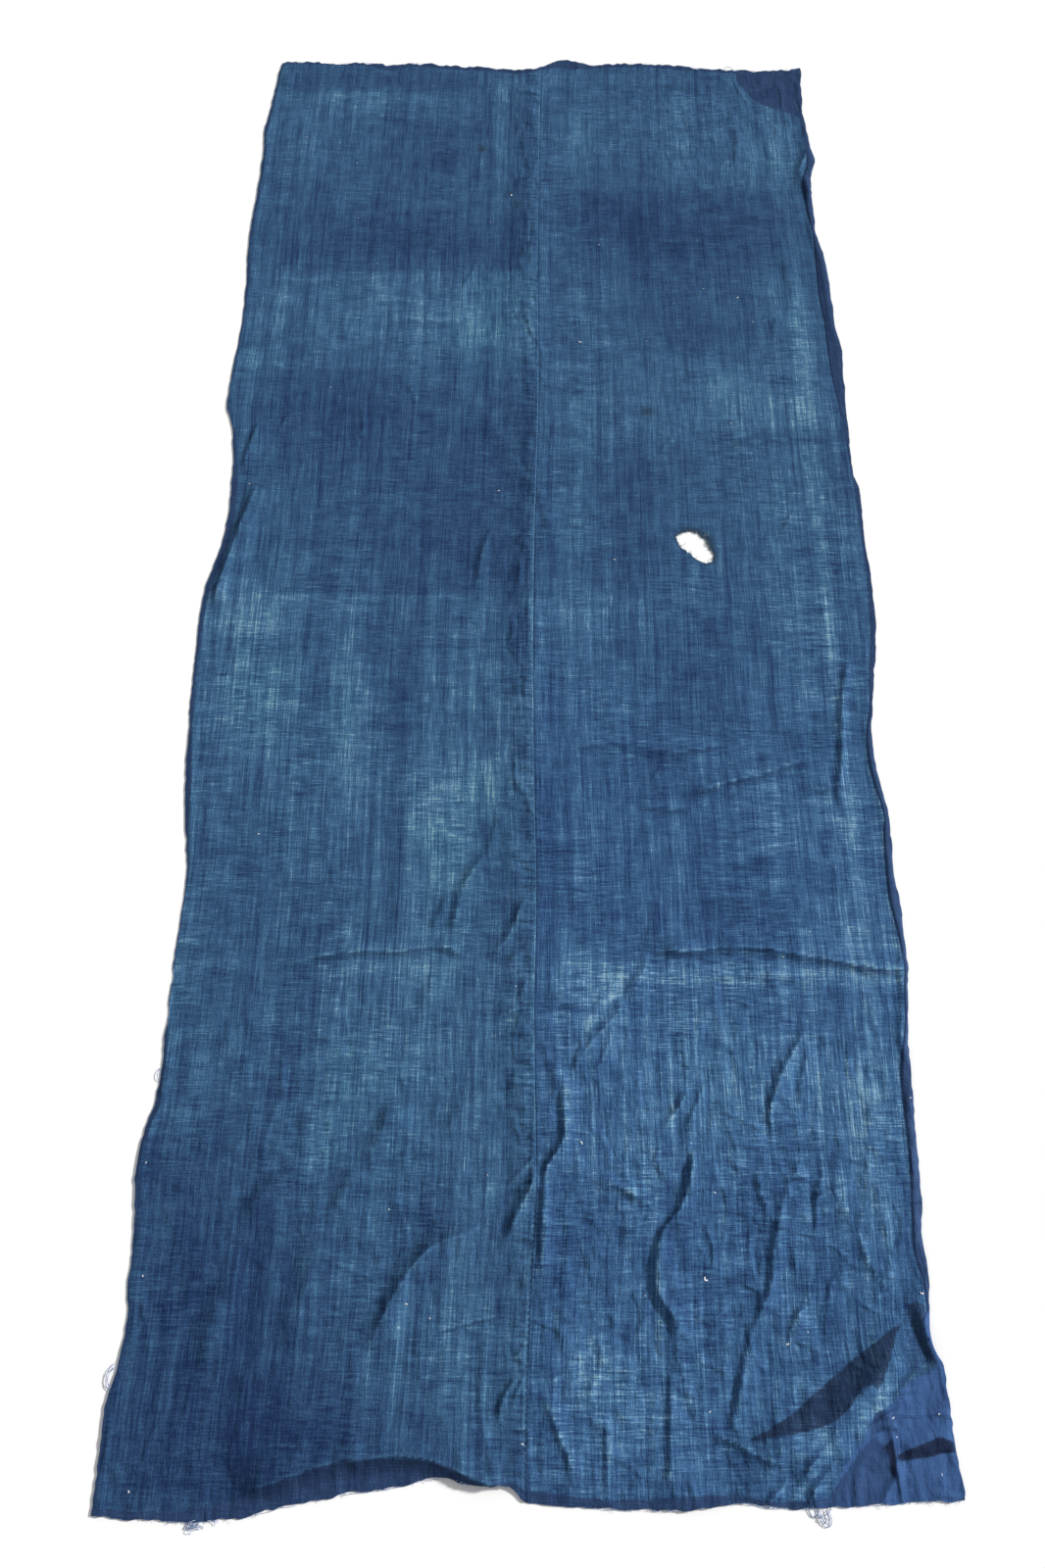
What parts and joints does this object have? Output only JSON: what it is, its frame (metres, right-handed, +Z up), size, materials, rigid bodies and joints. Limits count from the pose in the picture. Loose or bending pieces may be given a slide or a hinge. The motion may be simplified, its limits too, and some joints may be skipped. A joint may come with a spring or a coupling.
{
  "type": "indigo-dyed cotton panel",
  "caption": "Long cotton cloth laid flat: two hand-woven indigo loom widths joined by a lapped middle seam, raw uneven edges, soft creases and one worn hole.",
  "frame": {"origin": "middle of the underside, on the surface the cloth lies on", "axes": "+X across the cloth to the right, +Y along the cloth from the lower to the upper edge, +Z up"},
  "size_m": [0.9331, 2.2076, 0.0145],
  "materials": {
    "cloth_left": "matt hand-woven cotton, faded indigo with pale lengthwise streaks, dark unfaded margins",
    "cloth_right": "matt hand-woven cotton, deeper faded indigo with dark unfaded corners and margins"
  },
  "bodies": {
    "root": {"panel_left": "cloth_left", "panel_right": "cloth_right"}
  },
  "joints": []
}
